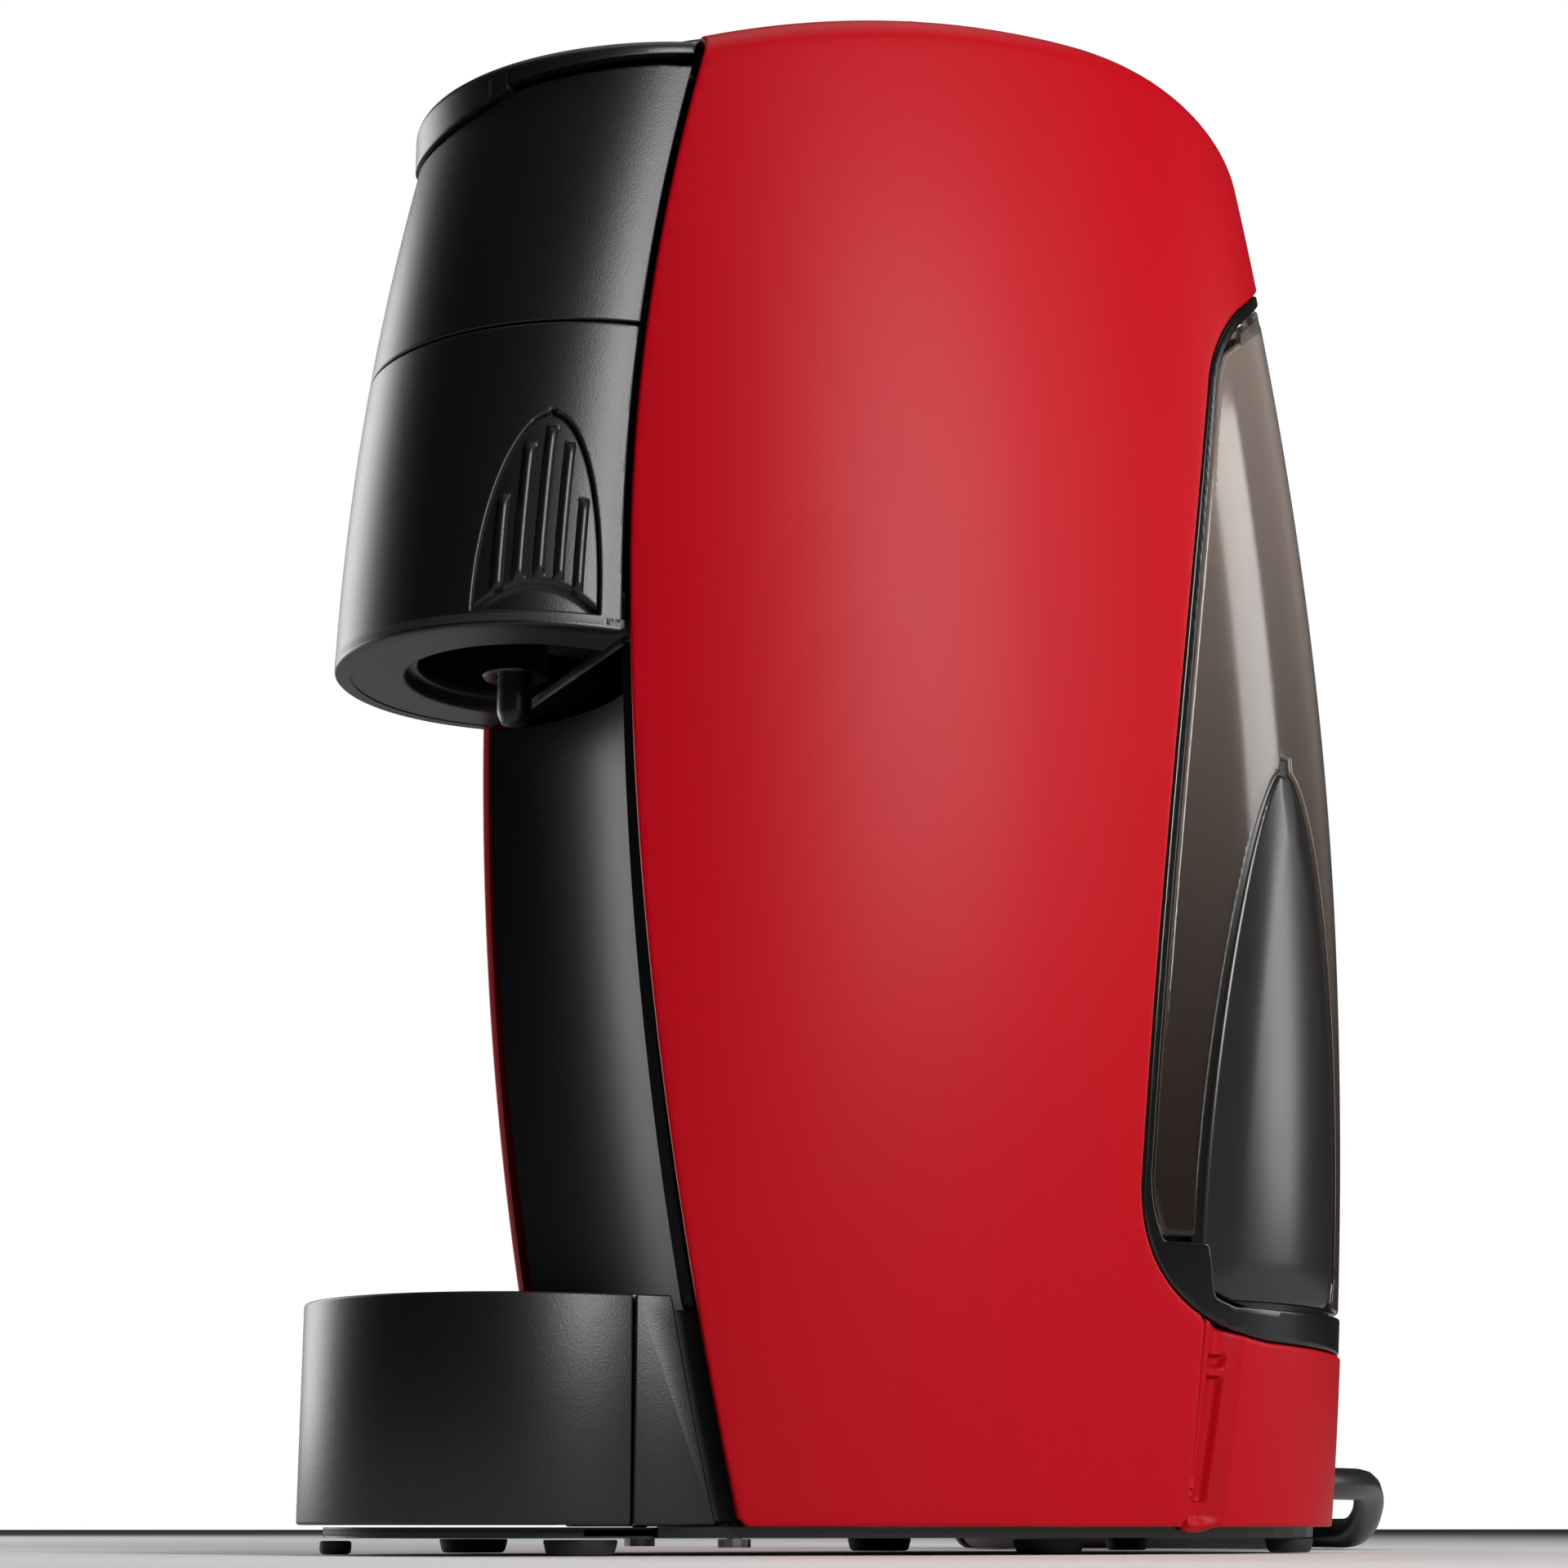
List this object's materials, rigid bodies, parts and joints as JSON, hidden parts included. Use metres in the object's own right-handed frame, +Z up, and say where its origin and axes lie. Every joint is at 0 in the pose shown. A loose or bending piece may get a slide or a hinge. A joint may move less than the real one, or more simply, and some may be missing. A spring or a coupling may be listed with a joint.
{
  "type": "capsule espresso machine",
  "caption": "Slim capsule espresso machine with side shells, lever head, slide-out capsule bin and drip tray, lift-out water tank behind, and a coiled mains lead with plug.",
  "frame": {"origin": "on the table under the middle of the machine without its lead", "axes": "+Z up, front (tray and head) towards -Y, +X to the right of the machine seen from behind its front"},
  "size_m": [0.2009, 0.2859, 0.3301],
  "materials": {
    "red": "satin",
    "black": "satin",
    "gloss_black": "gloss",
    "silver": "satin",
    "steel": "brushed",
    "spring_steel": "bright",
    "aluminium": "cast",
    "brass": "machined",
    "rubber": "matte",
    "cord": "satin",
    "silicone": "translucent white",
    "circuit_board": "green solder mask",
    "smoke": "smoked, polished"
  },
  "bodies": {
    "chassis": {"right_side_shell": "red", "left_side_shell": "red", "rear_cover": "red", "top_cover": "black", "power_spring": "spring_steel", "short_cup_spring": "spring_steel", "long_cup_spring": "spring_steel", "button_board": "circuit_board", "tray_foot": "rubber", "base_skirt": "black", "base_screw_1": "steel", "base_screw_2": "steel", "base_plate": "black", "front_left_foot": "rubber", "front_right_foot": "rubber", "middle_left_foot": "rubber", "middle_right_foot": "rubber", "rear_left_foot": "rubber", "rear_right_foot": "rubber", "splash_panel": "gloss_black", "head_fascia": "black", "coffee_nozzle": "black", "coffee_funnel": "black", "brew_frame": "aluminium", "piercing_needle": "steel", "lever_pin": "steel", "left_hinge_bracket": "aluminium", "right_hinge_bracket": "aluminium", "tank_niche": "black", "tank_seal": "silicone", "pump": "brass", "pump_front_mount": "rubber", "pump_rear_mount": "rubber", "flow_meter": "silicone", "thermoblock": "aluminium", "thermal_fuse": "silicone", "control_board": "circuit_board", "chassis_frame": "aluminium", "inlet_hose": "silicone", "pressure_hose": "silicone", "hot_water_hose": "silicone", "cord_gland": "rubber", "power_cord": "cord", "cord_coil": "cord", "cord_tail": "cord", "plug_body": "cord", "plug_contacts": "brass"},
    "lever": {"lever": "black", "water_injector": "steel", "injector_seal": "silicone"},
    "capsule_carriage": {"capsule_holder": "steel"},
    "capsule_bin": {"capsule_bin": "black"},
    "drip_tray": {"drip_tray": "black"},
    "drip_grid": {"drip_grid": "steel"},
    "water_tank": {"water_tank": "smoke"},
    "tank_lid": {"tank_lid": "smoke"},
    "tank_valve": {"tank_valve": "silicone"},
    "power_button": {"power_button": "silver"},
    "short_cup_button": {"short_cup_button": "black"},
    "long_cup_button": {"long_cup_button": "black"}
  },
  "joints": [
    {"name": "lever_hinge", "type": "hinge", "parent": "chassis", "child": "lever", "pos_m": [0, 0.0031, 0.3165], "axis": [-1, 0, 0], "range_deg": [0, 70]},
    {"name": "carriage_slide", "type": "slide", "parent": "chassis", "child": "capsule_carriage", "axis": [0, 0, 1], "range_m": [-0.005, 0]},
    {"name": "bin_slide", "type": "slide", "parent": "chassis", "child": "capsule_bin", "axis": [0, -0.9981, -0.0619], "range_m": [0, 0.07]},
    {"name": "tray_slide", "type": "slide", "parent": "chassis", "child": "drip_tray", "axis": [0, -1, 0], "range_m": [0, 0.08]},
    {"name": "grid_lift", "type": "slide", "parent": "drip_tray", "child": "drip_grid", "axis": [0, 0, 1], "range_m": [0, 0.03]},
    {"name": "tank_lift", "type": "slide", "parent": "chassis", "child": "water_tank", "axis": [0, 0.9063, 0.4226], "range_m": [0, 0.12]},
    {"name": "lid_slide", "type": "slide", "parent": "water_tank", "child": "tank_lid", "axis": [0, 0.7695, 0.6387], "range_m": [0, 0.06]},
    {"name": "valve_lift", "type": "slide", "parent": "water_tank", "child": "tank_valve", "axis": [0, 0, 1], "range_m": [0, 0.002], "stiffness_N_per_m": 100},
    {"name": "power_button_press", "type": "slide", "parent": "chassis", "child": "power_button", "axis": [0, 0, -1], "range_m": [0, 0.0015], "stiffness_N_per_m": 400, "deforming": ["power_spring"]},
    {"name": "short_cup_button_press", "type": "slide", "parent": "chassis", "child": "short_cup_button", "axis": [0, 0, -1], "range_m": [0, 0.0015], "stiffness_N_per_m": 400, "deforming": ["short_cup_spring"]},
    {"name": "long_cup_button_press", "type": "slide", "parent": "chassis", "child": "long_cup_button", "axis": [0, 0, -1], "range_m": [0, 0.0015], "stiffness_N_per_m": 400, "deforming": ["long_cup_spring"]}
  ],
  "couplings": [
    {"joint": "carriage_slide", "follows": "lever_hinge", "m_per_rad": -0.00409}
  ]
}
